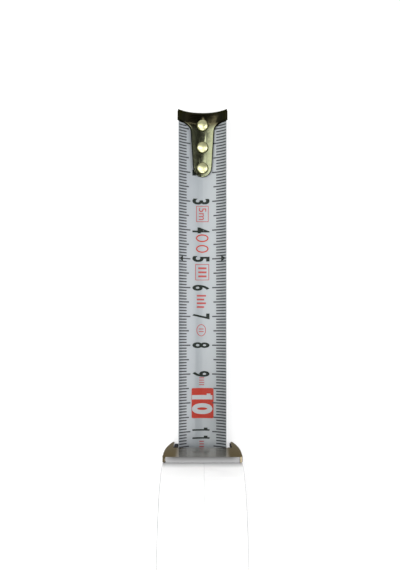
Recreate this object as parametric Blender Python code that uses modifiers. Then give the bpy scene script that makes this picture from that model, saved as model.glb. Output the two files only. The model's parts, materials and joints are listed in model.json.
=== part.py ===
"""Pocket tape measure with a 19 mm blade, built as the separate parts it is assembled from.

Metres, +Z up. The origin is on the face that the case stands on, straight below the spool's axle.
The blade leaves the mouth along +Y, and the lock is on.
"""

import math

import bmesh
import bpy
from mathutils import Matrix, Vector

MM = 0.001

# Clearances
GAP = 0.3 * MM  # between neighbouring pieces
RUNNING_GAP = 0.1 * MM  # between a shaft and the hole it turns in
SEAM_GAP = 0.04 * MM  # between the halves of the case, and behind the nose plate
WELD = 0.001 * MM  # points nearer than this are one point
FINE_GAP = 0.15 * MM  # inside the riveted stack of hook and blade

# Blade: a steel strip with a cross curve, which flattens where it meets the spool
BLADE_WIDTH = 19.0 * MM
BLADE_THICKNESS = 0.14 * MM
BLADE_CURVE_RADIUS = 10.4 * MM
BLADE_LOW = 6.6 * MM  # its lowest line, above the floor
BLADE_OUT = 114.7 * MM  # the scale's reading at the mouth
SCALE_SHORT = 1.0 * MM  # the strip ends this far short of its scale's zero

# Hook and rivets
HOOK_THICKNESS = 0.9 * MM
HOOK_TRAVEL = 0.8 * MM
HOOK_OVERHANG = 0.32 * MM  # of its bar past the blade's edges, seen from above
HOOK_BAR_LENGTH = 3.0 * MM
HOOK_FILLET_LENGTH = 2.7 * MM
HOOK_NECK_HALF = 4.1 * MM
HOOK_TIP_HALF = 3.3 * MM
HOOK_TONGUE_LENGTH = 21.6 * MM
HOOK_LIP_NARROWING = 0.7 * MM
HOOK_FOOT = 0.6 * MM  # clearance of the lip's lower edge above the floor
HOOK_BEND_RADIUS = 0.4 * MM
RIVET_FROM_ZERO = (3.8 * MM, 11.4 * MM, 18.6 * MM)
RIVET_SHANK_RADIUS = 0.85 * MM
RIVET_HEAD_RADIUS = 2.0 * MM
RIVET_HEAD_HEIGHT = 0.8 * MM
RIVET_TAIL_RADIUS = 1.6 * MM
RIVET_TAIL_HEIGHT = 0.45 * MM

# Case
REAR_CORNER_RADIUS = 12.0 * MM
TOE_RADIUS = 0.8 * MM
SIDE_ROOM = 1.56 * MM  # between the blade's edge and the inside of the shell
FOOT_NARROWING = 2.06 * MM  # each side of the case comes in this far towards the floor
BARREL_HEIGHT = 22.0 * MM  # the sides swell from the floor up to this height
SHELL_WALL = 1.6 * MM
SEAM_X = 0.5 * MM  # the halves meet just off the middle
CROWN_ROUND = 3.2 * MM
EDGE_ROUND_SHARE = 0.2  # of the crown's rounding, on the front and the foot

# Nose plate and mouth
NOSE_THICKNESS = 1.76 * MM
NOSE_HEIGHT = 31.0 * MM
NOSE_CORNER_RADIUS = 1.2 * MM
MOUTH_ROOM = 0.5 * MM  # beside the hook inside the shell, and beside the blade in the plate
MOUTH_TOP_ROOM = 0.7 * MM  # above the hook's highest corners
MOUTH_CUT_BACK = 6.0 * MM  # how far behind the nose plate the floor of the case starts

# Blade guide
GUIDE_LENGTH = 5.0 * MM
GUIDE_SIDE_ROOM = 0.7 * MM  # from its sides to the blade's, laid flat
GUIDE_TOP = 9.0 * MM
GUIDE_CLEARANCE = 0.5 * MM
GUIDE_GROOVE_HALF = 2.3 * MM
GUIDE_GROOVE_FLOOR = 5.2 * MM

# Rubber bumper that the hook's lip comes home against
BUMPER_HALF = 8.0 * MM
BUMPER_TOP = 4.6 * MM
BUMPER_FRONT_BACK = 0.5 * MM  # its face is this far behind the nose plate's

# Spool, spring and axle
COIL_RADIUS = 21.3 * MM
COIL_LOW = 9.7 * MM  # its lowest point, above the floor
CROWN_ROOM = 7.3 * MM  # between the coil and the shell over it
COIL_PITCH = 0.9 * MM
COIL_TURNS = 6
COIL_STRIP = 0.4 * MM
DRUM_RADIUS = 15.0 * MM
DRUM_WALL = 1.4 * MM
DRUM_WEB = 1.0 * MM
HUB_WALL = 1.2 * MM
ARBOR_RADIUS = 2.8 * MM
SPRING_TURNS = 5
SPRING_STRIP = 0.4 * MM
SPRING_INNER_RADIUS = 4.6 * MM
SPRING_SIDE_ROOM = 1.2 * MM
SOCKET_WALL = 1.4 * MM
SOCKET_DEPTH = 0.8 * MM

# Case screws
SCREW_IN = 4.8 * MM  # from the case's outline to each screw's axis
SCREW_REAR_IN = 10.2 * MM
SCREW_LOW_HEIGHTS = (17.0 * MM, 9.5 * MM)  # front and rear
SCREW_HIGH_ANGLES = (40.0, 160.0)  # degrees from the front, round the axle
SCREW_HEAD_RADIUS = 2.2 * MM
SCREW_HEAD_HEIGHT = 1.1 * MM
SCREW_SHANK_RADIUS = 1.1 * MM
SCREW_LENGTH = 19.0 * MM
SCREW_RECESS = 0.5 * MM
BOSS_WALL = 1.5 * MM

# Lock: a thumb slider that runs round the crown, over a brake arm on a pin
LOCK_ANGLES = (95.0, 119.0)  # degrees from the front, round the axle
LOCK_TRAVEL = 9.0  # degrees, towards the back, to let the blade go
LOCK_HALF = 7.0 * MM
LOCK_THICKNESS = 2.4 * MM
LOCK_STEM_ANGLES = (103.0, 108.0)
LOCK_STEM_HALF = 2.4 * MM
LOCK_STEM_ROOM = 0.8 * MM  # between the stem and the brake arm
LOCK_ROUND = 0.5 * MM
LOCK_GROOVES = 5
LOCK_GROOVE_DEPTH = 0.5 * MM
BRAKE_PIN_ANGLE = 128.0
BRAKE_PIN_OVER_COIL = 3.9 * MM
BRAKE_PIN_RADIUS = 1.2 * MM
BRAKE_ARM_ANGLES = (100.0, 125.0)
BRAKE_ARM_OVER_COIL = 2.2 * MM
BRAKE_ARM_THICKNESS = 2.2 * MM
BRAKE_HALF = 5.0 * MM
BRAKE_PAD_ANGLES = (101.0, 114.0)

# Side discs, rear grip and belt clip
DISC_RADIUS = 14.0 * MM
DISC_OVER_AXLE = 2.5 * MM
DISC_THICKNESS = 0.7 * MM
DISC_SEAT = 0.6 * MM  # depth of its seat
GRIP_START = 137.0  # degrees from the front, round the axle
GRIP_FOOT = 14.0 * MM
GRIP_THICKNESS = 1.5 * MM
GRIP_HALF = 7.0 * MM
GRIP_ROUND = 0.4 * MM
CLIP_Y = -13.5 * MM
CLIP_HALF = 4.5 * MM
CLIP_THICKNESS = 0.9 * MM
CLIP_STANDOFF = 3.2 * MM
CLIP_TOP_DOWN = 4.2 * MM  # this and the next two are below the top of the case
CLIP_PLATE_DOWN = 14.2 * MM
CLIP_SCREW_DOWN = 7.7 * MM
CLIP_SCREW_LENGTH = 5.0 * MM
CLIP_FOOT = 18.0 * MM
CLIP_FLARE = 5.0 * MM  # height of the flared foot
CLIP_LEAN = 0.7  # of the bend's radius, that the sprung leg comes in by

# Worked out from the sizes above
AXLE_HEIGHT = COIL_LOW + COIL_RADIUS
CASE_RADIUS = COIL_RADIUS + CROWN_ROOM + SHELL_WALL
FRONT_WALL_Y = CASE_RADIUS
NOSE_BACK_Y = FRONT_WALL_Y + SEAM_GAP
NOSE_FRONT_Y = NOSE_BACK_Y + NOSE_THICKNESS
ZERO_Y = NOSE_FRONT_Y + BLADE_OUT
BLADE_HALF_ANGLE = BLADE_WIDTH / 2 / BLADE_CURVE_RADIUS
BLADE_CENTRE_Z = BLADE_LOW + BLADE_CURVE_RADIUS
HOOK_TOP_RADIUS = BLADE_CURVE_RADIUS - BLADE_THICKNESS - FINE_GAP - HOOK_THICKNESS
HOOK_BAR_HALF = BLADE_CURVE_RADIUS * math.sin(BLADE_HALF_ANGLE) + HOOK_OVERHANG
HOOK_BAR_ANGLE = math.asin(HOOK_BAR_HALF / (HOOK_TOP_RADIUS + HOOK_THICKNESS))
MOUTH_HEIGHT = BLADE_CENTRE_Z - HOOK_TOP_RADIUS * math.cos(HOOK_BAR_ANGLE) + MOUTH_TOP_ROOM
INNER_HALF = BLADE_WIDTH / 2 + SIDE_ROOM
SIDE_HALF = INNER_HALF + SHELL_WALL
MOUTH_HALF = BLADE_WIDTH / 2 + MOUTH_ROOM
DRUM_HALF = BLADE_WIDTH / 2 + GAP
SPRING_HALF = DRUM_HALF - DRUM_WEB - SPRING_SIDE_ROOM
SHAFT_HALF = INNER_HALF - SOCKET_DEPTH / 2
BORE_RADIUS = ARBOR_RADIUS + RUNNING_GAP
BOSS_RADIUS = SCREW_SHANK_RADIUS + GAP + BOSS_WALL
SCREW_ORBIT = CASE_RADIUS - SCREW_IN
BRAKE_PIN_ORBIT = COIL_RADIUS + BRAKE_PIN_OVER_COIL
BRAKE_ARM_INNER = COIL_RADIUS + BRAKE_ARM_OVER_COIL
BRAKE_ARM_OUTER = BRAKE_ARM_INNER + BRAKE_ARM_THICKNESS
DISC_HEIGHT = AXLE_HEIGHT + DISC_OVER_AXLE
CASE_TOP = AXLE_HEIGHT + CASE_RADIUS
CLIP_TOP = CASE_TOP - CLIP_TOP_DOWN
CLIP_PLATE_FOOT = CASE_TOP - CLIP_PLATE_DOWN
CLIP_SCREW_HEIGHT = CASE_TOP - CLIP_SCREW_DOWN

LOOKS = {  # base colour, roughness, metallic
    "pearl_shell": ((0.86, 0.86, 0.85), 0.25, 0.0),
    "bronze_chrome": ((0.42, 0.38, 0.30), 0.08, 1.0),
    "blade_lacquer": ((0.62, 0.65, 0.70), 0.35, 0.0),
    "spring_steel": ((0.35, 0.36, 0.38), 0.3, 1.0),
    "polished_hook": ((0.42, 0.40, 0.30), 0.15, 1.0),
    "rivet_brass": ((0.85, 0.80, 0.50), 0.2, 1.0),
    "zinc_screw": ((0.60, 0.61, 0.63), 0.3, 1.0),
    "grey_nylon": ((0.30, 0.31, 0.33), 0.5, 0.0),
    "soft_rubber": ((0.12, 0.12, 0.13), 0.8, 0.0),
    "disc_silver": ((0.70, 0.71, 0.72), 0.35, 1.0),
}


def clear_scene():
    for obj in list(bpy.data.objects):
        bpy.data.objects.remove(obj, do_unlink=True)


def make_collection(name):
    collection = bpy.data.collections.new(name)
    bpy.context.scene.collection.children.link(collection)
    return collection


def make_looks():
    """One Principled material for each finish."""
    looks = {}
    for name, (colour, roughness, metallic) in LOOKS.items():
        look = bpy.data.materials.new(name)
        look.use_nodes = True
        shader = look.node_tree.nodes["Principled BSDF"]
        shader.inputs["Base Color"].default_value = (*colour, 1.0)
        shader.inputs["Roughness"].default_value = roughness
        shader.inputs["Metallic"].default_value = metallic
        looks[name] = look
    return looks


def smooth(mesh):
    mesh.shade_smooth()
    mesh.set_sharp_from_angle(angle=math.radians(35))


def finish_mesh(name, bm, look=None):
    """The bmesh as an object of the tape measure, or as a cutter where it has no look."""
    mesh = bpy.data.meshes.new(name)
    bm.to_mesh(mesh)
    bm.free()
    smooth(mesh)
    obj = bpy.data.objects.new(name, mesh)
    if look:
        mesh.materials.append(LOOK[look])
        PARTS.objects.link(obj)
    else:
        CUTTERS.objects.link(obj)
        obj.hide_render = True
        obj.display_type = "WIRE"
    return obj


def solidify(obj, thickness, offset):
    """Thickens an open sheet: offset 1 grows it along its normals, and -1 against them."""
    wall = obj.modifiers.new("wall", "SOLIDIFY")
    wall.thickness = thickness
    wall.offset = offset
    wall.use_even_offset = True
    return obj


def round_rims(obj, width):
    """Rounds every edge sharper than 50 degrees."""
    rounding = obj.modifiers.new("rounding", "BEVEL")
    rounding.width = width
    rounding.segments = 2
    rounding.angle_limit = math.radians(50)
    return obj


def combine(obj, tool, operation):
    step = obj.modifiers.new(tool.name, "BOOLEAN")
    step.operation = operation
    step.object = tool
    return obj


def cut(obj, *tools):
    for tool in tools:
        combine(obj, tool, "DIFFERENCE")
    return obj


def fuse(obj, *tools):
    for tool in tools:
        combine(obj, tool, "UNION")
    return obj


def box(name, low, high, look=None):
    bm = bmesh.new()
    bmesh.ops.create_cube(bm, size=1.0)
    for v in bm.verts:
        v.co = [lo + (c + 0.5) * (hi - lo) for c, lo, hi in zip(v.co, low, high)]
    return finish_mesh(name, bm, look)


def rod(name, radius, low, high, place, axis="X", segments=24, look=None):
    """A cylinder along X, Y or Z from low to high, with its axis through place on the other two."""
    bm = bmesh.new()
    bmesh.ops.create_cone(
        bm, cap_ends=True, segments=segments, radius1=radius, radius2=radius, depth=high - low
    )
    bmesh.ops.translate(bm, verts=bm.verts, vec=(0, 0, (high + low) / 2))
    bmesh.ops.transform(bm, verts=bm.verts, matrix=axis_frame(axis, place))
    return finish_mesh(name, bm, look)


def axis_frame(axis, place):
    """Turns local +Z onto a world axis and moves it to place, the two coordinates off that axis."""
    a, b = place
    if axis == "X":
        return Matrix.Translation((0, a, b)) @ Matrix.Rotation(math.pi / 2, 4, "Y")
    if axis == "Y":
        return Matrix.Translation((a, 0, b)) @ Matrix.Rotation(-math.pi / 2, 4, "X")
    return Matrix.Translation((a, b, 0))


def turned(name, profile, place, axis="X", steps=32, look=None):
    """A turned shape. The profile is (radius, height) down the outer side, and may close on itself."""
    bm = bmesh.new()
    line = [bm.verts.new((radius, 0, height)) for radius, height in profile]
    for a, b in zip(line, line[1:]):
        bm.edges.new((a, b))
    if profile[0][0] > 0:
        bm.edges.new((line[-1], line[0]))
    obj = finish_mesh(name, bm, look)
    obj.matrix_world = axis_frame(axis, place)
    spin = obj.modifiers.new("turn", "SCREW")
    spin.steps = spin.render_steps = steps
    spin.use_merge_vertices = True
    spin.merge_threshold = 10 * WELD
    return obj


def flat_plate(name, outline, low, high, look=None):
    """A closed outline, filled as a 2D curve and pulled along X from low to high. Points are (Y, Z)."""
    curve = bpy.data.curves.new(name, "CURVE")
    curve.dimensions = "2D"
    curve.fill_mode = "BOTH"
    curve.extrude = (high - low) / 2
    spline = curve.splines.new("POLY")
    spline.points.add(len(outline) - 1)
    for point, (y, z) in zip(spline.points, outline):
        point.co = (y, z, 0, 1)
    spline.use_cyclic_u = True
    helper = bpy.data.objects.new(name, curve)
    CUTTERS.objects.link(helper)
    bpy.context.view_layer.update()
    graph = bpy.context.evaluated_depsgraph_get()
    mesh = bpy.data.meshes.new_from_object(helper.evaluated_get(graph))
    bpy.data.objects.remove(helper)
    bm = bmesh.new()
    bm.from_mesh(mesh)
    bpy.data.meshes.remove(mesh)
    bmesh.ops.remove_doubles(bm, verts=bm.verts, dist=WELD)
    lie_across = Matrix(((0, 0, 1, (high + low) / 2), (1, 0, 0, 0), (0, 1, 0, 0), (0, 0, 0, 1)))
    bmesh.ops.transform(bm, verts=bm.verts, matrix=lie_across)
    bmesh.ops.recalc_face_normals(bm, faces=bm.faces)
    return finish_mesh(name, bm, look)


def move_origin(obj, y, z):
    """Puts a moving piece's origin on its joint's axis, and leaves the piece where it is."""
    spot = Vector((0, y, z))
    obj.data.transform(Matrix.Translation(-spot))
    obj.location = spot
    return obj


def loft(name, sections, look):
    """An open sheet through sections that all have the same number of points."""
    bm = bmesh.new()
    rows = [[bm.verts.new(point) for point in section] for section in sections]
    for row, following in zip(rows, rows[1:]):
        for i in range(len(row) - 1):
            bm.faces.new((row[i], row[i + 1], following[i + 1], following[i]))
    return finish_mesh(name, bm, look)


def arc(centre, radius, start, end, count):
    """(Y, Z) points along an arc, with its angles in degrees from +Y towards +Z."""
    y, z = centre
    angles = [math.radians(start + (end - start) * i / count) for i in range(count + 1)]
    return [(y + radius * math.cos(a), z + radius * math.sin(a)) for a in angles]


def crown_arc(radius, start, end, count):
    return arc((0, AXLE_HEIGHT), radius, start, end, count)


def arc_segment(inner, outer, start, end, count):
    """The outline of a piece of a ring round the axle."""
    return crown_arc(outer, start, end, count) + crown_arc(inner, end, start, count)


def polar(radius, degrees):
    """The (Y, Z) point at an angle from the front, round the axle."""
    return crown_arc(radius, degrees, degrees, 1)[0]


def screw_places():
    """(Y, Z) of each case screw's axis, by name."""
    front, rear = SCREW_LOW_HEIGHTS
    front_up, rear_up = SCREW_HIGH_ANGLES
    return {
        "case_screw_front_low": (CASE_RADIUS - SCREW_IN, front),
        "case_screw_front_high": polar(SCREW_ORBIT, front_up),
        "case_screw_rear_high": polar(SCREW_ORBIT, rear_up),
        "case_screw_rear_low": (-CASE_RADIUS + SCREW_REAR_IN, rear),
    }


def side_half(z):
    """Half the case's width at a height."""
    below = max(0.0, 1 - z / BARREL_HEIGHT)
    return SIDE_HALF - FOOT_NARROWING * below**2


def case_outline(inset):
    """The case from the side: a round crown, a square front and a rounded rear corner."""
    rear = (-CASE_RADIUS + REAR_CORNER_RADIUS, REAR_CORNER_RADIUS)
    toe = (FRONT_WALL_Y - inset - TOE_RADIUS, inset + TOE_RADIUS)
    return (
        arc(toe, TOE_RADIUS, -90, 0, 2)
        + crown_arc(CASE_RADIUS - inset, 0, 180, 32)
        + arc(rear, REAR_CORNER_RADIUS - inset, 180, 270, 8)
    )


def case_solid(name, side, seam, inset, look=None):
    """Half of the case as a solid block from the seam outwards, shrunk all round by the inset."""
    bm = bmesh.new()
    face = bm.faces.new([bm.verts.new((seam, y, z)) for y, z in case_outline(inset)])
    pulled = bmesh.ops.extrude_face_region(bm, geom=[face])
    moved = [v for v in pulled["geom"] if isinstance(v, bmesh.types.BMVert)]
    bmesh.ops.translate(bm, verts=moved, vec=(SIDE_HALF, 0, 0))
    levels = 5
    for i in range(1, levels + 1):
        bmesh.ops.bisect_plane(
            bm,
            geom=bm.verts[:] + bm.edges[:] + bm.faces[:],
            plane_co=(0, 0, BARREL_HEIGHT * i / levels),
            plane_no=(0, 0, 1),
        )
    for v in bm.verts:
        if v.co.x > SIDE_HALF / 2:
            v.co.x = side_half(v.co.z) - inset
    bmesh.ops.recalc_face_normals(bm, faces=bm.faces)
    weigh_edges(bm, inset)
    if side < 0:
        bmesh.ops.scale(bm, vec=(-1, 1, 1), verts=bm.verts)
        bmesh.ops.reverse_faces(bm, faces=bm.faces)
    obj = finish_mesh(name, bm, look)
    rounding = obj.modifiers.new("rounding", "BEVEL")
    rounding.width = CROWN_ROUND - inset
    rounding.segments = 3
    rounding.limit_method = "WEIGHT"
    return obj


def weigh_edges(bm, inset):
    """Rounds the crown and the back fully, and the front and the foot a little."""
    weight = bm.edges.layers.float.new("bevel_weight_edge")
    for edge in bm.edges:
        middle = (edge.verts[0].co + edge.verts[1].co) / 2
        if middle.x < SIDE_HALF / 4 or edge.calc_face_angle(0) < math.radians(50):
            continue
        round_part = middle.z > AXLE_HEIGHT or middle.y < -CASE_RADIUS + REAR_CORNER_RADIUS
        edge[weight] = 1.0 if round_part else EDGE_ROUND_SHARE


def make_shell(name, side):
    """A case half: the outside surface, its wall, its bosses, and the holes through it."""
    seam = SEAM_GAP / 2 + side * SEAM_X
    obj = case_solid(name, side, seam, 0, "pearl_shell")
    cut(obj, case_solid(f"{name}_hollow", side, seam - GAP, SHELL_WALL))
    wall = SHELL_WALL / 2

    def across(tool, radius, near, far, place, segments=20):
        low, high = sorted((side * near, side * far))
        return rod(f"{name}_{tool}", radius, low, high, place, segments=segments)

    axle = (0, AXLE_HEIGHT)
    fuse(
        obj,
        across("socket", BORE_RADIUS + SOCKET_WALL, INNER_HALF - SOCKET_DEPTH, INNER_HALF + wall, axle),
    )
    for place_name, place in screw_places().items():
        reach = side_half(place[1]) - wall
        fuse(obj, across(f"{place_name}_boss", BOSS_RADIUS, seam, reach, place))
        hole_end = reach + SHELL_WALL if side < 0 else SCREW_LENGTH / 2
        cut(obj, across(f"{place_name}_hole", SCREW_SHANK_RADIUS + GAP, seam - GAP, hole_end, place))
        if side < 0:
            seat = side_half(place[1]) - SCREW_HEAD_HEIGHT - GAP
            cut(
                obj,
                across(f"{place_name}_seat", SCREW_HEAD_RADIUS + GAP, seat, reach + SHELL_WALL, place),
            )
    cut(obj, across("socket_bore", BORE_RADIUS, 0, SHAFT_HALF + GAP, axle))
    pin = polar(BRAKE_PIN_ORBIT, BRAKE_PIN_ANGLE)
    pin_hole = BRAKE_PIN_RADIUS + RUNNING_GAP
    fuse(obj, across("pin_boss", pin_hole + SOCKET_WALL, BRAKE_HALF + 2 * GAP, INNER_HALF + wall, pin))
    cut(obj, across("pin_hole", pin_hole, 0, SHAFT_HALF + GAP, pin))
    disc = (0, DISC_HEIGHT)
    cut(obj, across("disc_seat", DISC_RADIUS + GAP, SIDE_HALF - DISC_SEAT, SIDE_HALF + wall, disc, 48))
    if side > 0:
        clip = (CLIP_Y, CLIP_SCREW_HEIGHT)
        clip_boss = SCREW_SHANK_RADIUS + GAP + SOCKET_WALL / 2
        clip_depth = SIDE_HALF - CLIP_SCREW_LENGTH
        fuse(obj, across("clip_boss", clip_boss, clip_depth - GAP, INNER_HALF + wall, clip))
        hole = SCREW_SHANK_RADIUS + GAP
        cut(obj, across("clip_hole", hole, clip_depth - 2 * GAP, SIDE_HALF + wall, clip))
    cut(obj, mouth_cutter(f"{name}_mouth"), window_cutter(f"{name}_window"))
    return obj


def mouth_cutter(name):
    side = HOOK_BAR_HALF + MOUTH_ROOM
    low = (-side, FRONT_WALL_Y - MOUTH_CUT_BACK, -SHELL_WALL)
    return box(name, low, (side, FRONT_WALL_Y + SHELL_WALL, MOUTH_HEIGHT + GAP))


def window_cutter(name):
    """The slot in the crown that the lock's stem runs in."""
    first, last = LOCK_STEM_ANGLES
    side = LOCK_STEM_HALF + GAP
    outline = arc_segment(
        CASE_RADIUS - 2 * SHELL_WALL, CASE_RADIUS + SHELL_WALL, first - 2, last + LOCK_TRAVEL + 2, 6
    )
    return flat_plate(name, outline, -side, side)


def make_nose_plate():
    """The polished front plate, as wide as the case behind it, with the mouth open at the floor."""
    steps = 8
    right = [(side_half(NOSE_HEIGHT * i / steps), NOSE_HEIGHT * i / steps) for i in range(steps)]
    corner = NOSE_CORNER_RADIUS
    right += arc((side_half(NOSE_HEIGHT) - corner, NOSE_HEIGHT - corner), corner, 0, 90, 4)
    half = [(MOUTH_HALF, MOUTH_HEIGHT), (MOUTH_HALF, 0)] + right
    outline = half + [(-x, z) for x, z in reversed(half)]
    plate = flat_plate("nose_plate", outline, -NOSE_FRONT_Y, -NOSE_BACK_Y, "bronze_chrome")
    plate.data.transform(Matrix.Rotation(-math.pi / 2, 4, "Z"))
    return plate


def blade_section(y, share):
    """Points across the blade's underside: flat at share 0, and at its full cross curve at 1."""
    count = 14
    share = max(share, 0.001)
    radius = BLADE_CURVE_RADIUS / share
    coil_low = AXLE_HEIGHT - COIL_RADIUS
    low = coil_low + (BLADE_LOW - coil_low) * share
    points = []
    for i in range(count + 1):
        angle = (i / count - 0.5) * BLADE_WIDTH / radius
        points.append((radius * math.sin(angle), y, low + radius * (1 - math.cos(angle))))
    return points


def make_blade():
    """The blade from the spool to the hook. It takes its cross curve between the spool and the mouth."""
    start = GAP / 2
    end = FRONT_WALL_Y - MOUTH_CUT_BACK
    steps = 8
    sections = []
    for i in range(steps + 1):
        t = i / steps
        sections.append(blade_section(start + (end - start) * t, t * t * (3 - 2 * t)))
    sections.append(blade_section(ZERO_Y - SCALE_SHORT, 1))
    blade = solidify(loft("blade", sections, "blade_lacquer"), BLADE_THICKNESS, 1)
    for i, back in enumerate(RIVET_FROM_ZERO):
        hole = RIVET_SHANK_RADIUS + GAP
        cut(blade, rod(f"blade_hole_{i}", hole, 0, BLADE_CENTRE_Z, (0, ZERO_Y - back), "Z", 20))
    return blade


def hook_half_width(back):
    """Half the hook's width at a distance back from the zero: a bar, a fillet and a round tongue."""
    bar_end = HOOK_BAR_LENGTH
    fillet_end = bar_end + HOOK_FILLET_LENGTH
    tip_start = HOOK_TONGUE_LENGTH - HOOK_TIP_HALF
    if back <= bar_end:
        return HOOK_BAR_HALF
    if back < fillet_end:
        across = (back - bar_end) / HOOK_FILLET_LENGTH
        return HOOK_NECK_HALF + (HOOK_BAR_HALF - HOOK_NECK_HALF) * (1 - math.sqrt(1 - (1 - across) ** 2))
    if back < tip_start:
        along = (back - fillet_end) / (tip_start - fillet_end)
        return HOOK_NECK_HALF + (HOOK_TIP_HALF - HOOK_NECK_HALF) * along
    over = min((back - tip_start) / HOOK_TIP_HALF, 0.995)
    return HOOK_TIP_HALF * math.sqrt(1 - over**2)


def make_hook():
    """The end hook: a curved plate on top of the blade, bent down over its end into a lip."""
    radius = HOOK_TOP_RADIUS + HOOK_THICKNESS
    count = 12
    fillet_end = HOOK_BAR_LENGTH + HOOK_FILLET_LENGTH
    tip_start = HOOK_TONGUE_LENGTH - HOOK_TIP_HALF
    tip_angles = [math.radians(a) for a in (6, 25, 45, 65, 90)]
    backs = [HOOK_TONGUE_LENGTH - HOOK_TIP_HALF * (1 - math.cos(a)) for a in tip_angles]
    backs += [(tip_start + fillet_end) / 2]
    backs += [fillet_end - HOOK_FILLET_LENGTH * s for s in (0, 0.35, 0.6, 0.78, 0.9, 0.97, 1)]

    def across(half):
        angle = math.asin(min(half / radius, 0.999))
        steps = [angle * (2 * i / count - 1) for i in range(count + 1)]
        return [(radius * math.sin(a), BLADE_CENTRE_Z - radius * math.cos(a)) for a in steps]

    sections = [[(x, ZERO_Y - back, z) for x, z in across(hook_half_width(back))] for back in backs]
    bar = across(HOOK_BAR_HALF)
    bend = HOOK_BEND_RADIUS
    for degrees in (0, 30, 60, 90):
        turn = math.radians(degrees)
        y = ZERO_Y - bend + bend * math.sin(turn)
        sections.append([(x, y, z - bend * (1 - math.cos(turn))) for x, z in bar])
    for share in (0.5, 0.85, 1.0):
        narrow = 1 - HOOK_LIP_NARROWING / HOOK_BAR_HALF * share**4
        sections.append(
            [(x * narrow, ZERO_Y, (z - bend) * (1 - share) + HOOK_FOOT * share) for x, z in bar]
        )
    hook = solidify(loft("hook", sections, "polished_hook"), HOOK_THICKNESS, 1)
    for i, back in enumerate(RIVET_FROM_ZERO):
        cut(hook, slot_cutter(f"hook_slot_{i}", ZERO_Y - back))
    return hook


def slot_cutter(name, y):
    """A slot that lets the hook slide back by its travel past the rivet at y."""
    hole = rod(name, RIVET_SHANK_RADIUS + GAP, 0, BLADE_CENTRE_Z, (0, y), "Z", 20)
    for v in hole.data.vertices:
        if v.co.y > y:
            v.co.y += HOOK_TRAVEL
    return hole


def make_rivet(name, back):
    """A rivet through hook and blade, with a domed head on the hook and a flat one under the blade."""
    head_foot = BLADE_CENTRE_Z - math.sqrt(HOOK_TOP_RADIUS**2 - RIVET_HEAD_RADIUS**2) + FINE_GAP
    tail_top = BLADE_LOW - FINE_GAP
    dome = [
        (RIVET_HEAD_RADIUS * math.sin(a), head_foot + RIVET_HEAD_HEIGHT * math.cos(a))
        for a in [math.radians(d) for d in (0, 22, 45, 68, 90)]
    ]
    profile = dome + [
        (RIVET_SHANK_RADIUS, head_foot),
        (RIVET_SHANK_RADIUS, tail_top),
        (RIVET_TAIL_RADIUS, tail_top),
        (RIVET_TAIL_RADIUS, tail_top - RIVET_TAIL_HEIGHT),
        (0, tail_top - RIVET_TAIL_HEIGHT),
    ]
    return turned(name, profile, (0, ZERO_Y - back), "Z", 20, "rivet_brass")


def make_guide():
    """The saddle under the blade just inside the mouth, grooved for the rivets' lower heads."""
    rear = FRONT_WALL_Y - MOUTH_CUT_BACK - GUIDE_LENGTH
    front = rear + GUIDE_LENGTH
    half = BLADE_WIDTH / 2 - GUIDE_SIDE_ROOM
    guide = box("blade_guide", (-half, rear, SHELL_WALL + GAP), (half, front, GUIDE_TOP), "grey_nylon")
    saddle = BLADE_CURVE_RADIUS + GUIDE_CLEARANCE
    side = GUIDE_GROOVE_HALF
    return cut(
        guide,
        rod("guide_saddle", saddle, rear - GAP, front + GAP, (0, BLADE_CENTRE_Z), "Y", 64),
        box("guide_groove", (-side, rear - GAP, GUIDE_GROOVE_FLOOR), (side, front + GAP, BLADE_CENTRE_Z)),
    )


def make_bumper():
    """The rubber block in the floor of the mouth that the hook's lip comes home against."""
    rear = FRONT_WALL_Y - MOUTH_CUT_BACK + GAP
    front = NOSE_FRONT_Y - BUMPER_FRONT_BACK
    low = (-BUMPER_HALF, rear, 2 * GAP)
    return box("hook_bumper", low, (BUMPER_HALF, front, BUMPER_TOP), "soft_rubber")


def spiral_sheet(name, points, half_width, thickness, look):
    """A strip of metal that follows (Y, Z) points, thickened outwards from its path."""
    sections = [[(-half_width, y, z), (half_width, y, z)] for y, z in points]
    return solidify(loft(name, sections, look), thickness, 0)


def spiral(outer, pitch, turns, start, direction, count_per_turn=32):
    """(Y, Z) points of a spiral round the axle, inwards from the outer radius."""
    count = round(turns * count_per_turn)
    points = []
    for i in range(count + 1):
        turn = turns * i / count
        angle = math.radians(start) + direction * 2 * math.pi * turn
        radius = outer - pitch * turn
        points.append((radius * math.cos(angle), AXLE_HEIGHT + radius * math.sin(angle)))
    return points


def make_coil():
    """The wound part of the blade. It goes back from the bottom, up behind the axle and over."""
    path = COIL_RADIUS - COIL_STRIP / 2
    start = -90 - math.degrees(GAP / path)
    points = spiral(path, COIL_PITCH, COIL_TURNS, start, -1)
    return spiral_sheet("blade_coil", points, BLADE_WIDTH / 2, COIL_STRIP, "blade_lacquer")


def make_spring():
    """The power spring: a spiral inside the drum, whose inner end sits in the axle's slot."""
    outer = DRUM_RADIUS - DRUM_WALL - GAP - SPRING_STRIP
    pitch = (outer - SPRING_INNER_RADIUS) / SPRING_TURNS
    points = spiral(outer, pitch, SPRING_TURNS, 90, -1, 24)
    points.append((0, AXLE_HEIGHT + SPRING_INNER_RADIUS - 2 * SPRING_STRIP))
    points.append((0, AXLE_HEIGHT + ARBOR_RADIUS / 2))
    return spiral_sheet("power_spring", points, SPRING_HALF, SPRING_STRIP, "spring_steel")


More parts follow.
